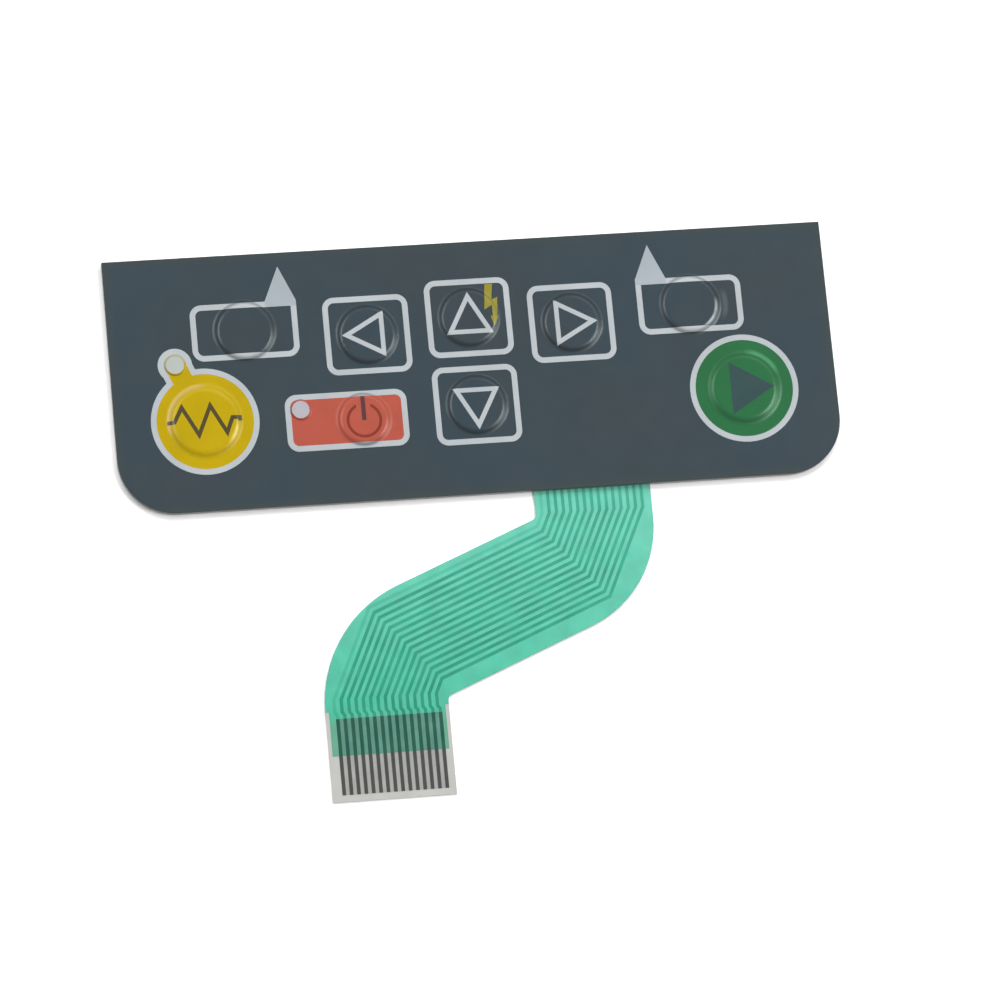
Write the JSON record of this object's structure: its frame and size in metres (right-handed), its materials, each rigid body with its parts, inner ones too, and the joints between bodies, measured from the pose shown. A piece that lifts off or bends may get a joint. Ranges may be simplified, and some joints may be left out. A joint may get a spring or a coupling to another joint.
{
  "type": "membrane keypad",
  "caption": "Flat membrane keypad: embossed, printed cover film over snap domes, with a printed circuit film whose flat tail ends in bare contacts.",
  "frame": {"origin": "centre of the panel's rear face, on the rear adhesive's free side", "axes": "+X along the panel, to the right as its user sees it, +Y towards its top edge, away from the tail, +Z out of its printed face"},
  "size_m": [0.1, 0.0764, 0.0015],
  "materials": {
    "cover_film": "polyester film, slate grey, fine velvet texture",
    "white_ink": "screen print, pale grey-white",
    "pointer_ink": "screen print, mid grey",
    "yellow_ink": "screen print, mustard yellow",
    "red_ink": "screen print, brick red",
    "green_ink": "screen print, mid green",
    "dark_ink": "screen print, dark slate",
    "dark_red_ink": "screen print, dark red",
    "olive_ink": "screen print, olive yellow",
    "window": "translucent window, diffusing",
    "adhesive": "clear acrylic transfer adhesive",
    "clear_film": "clear polyester film",
    "dome_steel": "stainless spring steel",
    "lamp": "moulded lamp chip",
    "coat": "translucent green insulating coat",
    "silver_ink": "printed silver ink",
    "carbon_ink": "printed carbon ink",
    "circuit_film": "heat-stabilised polyester film",
    "stiffener": "polyester stiffener, milky",
    "liner": "acrylic foam tape, off-white"
  },
  "bodies": {
    "root": {"cover_film": "cover_film", "print_frames": "white_ink", "print_pointers": "pointer_ink", "print_heater_field": "yellow_ink", "print_power_field": "red_ink", "print_start_field": "green_ink", "print_dark_legends": "dark_ink", "print_power_symbol": "dark_red_ink", "print_bolt": "olive_ink", "lamp_windows": "window", "cover_adhesive": "adhesive", "dome_retainer": "clear_film", "spacer": "clear_film", "dome_soft_left": "dome_steel", "dome_soft_right": "dome_steel", "dome_left": "dome_steel", "dome_right": "dome_steel", "dome_up": "dome_steel", "dome_down": "dome_steel", "dome_power": "dome_steel", "dome_heater": "dome_steel", "dome_start": "dome_steel", "lamp_heater": "lamp", "lamp_power": "lamp", "insulating_coat": "coat", "silver_circuit": "silver_ink", "carbon_contacts": "carbon_ink", "circuit_film": "circuit_film", "tail_stiffener": "stiffener", "rear_adhesive": "liner"}
  },
  "joints": []
}
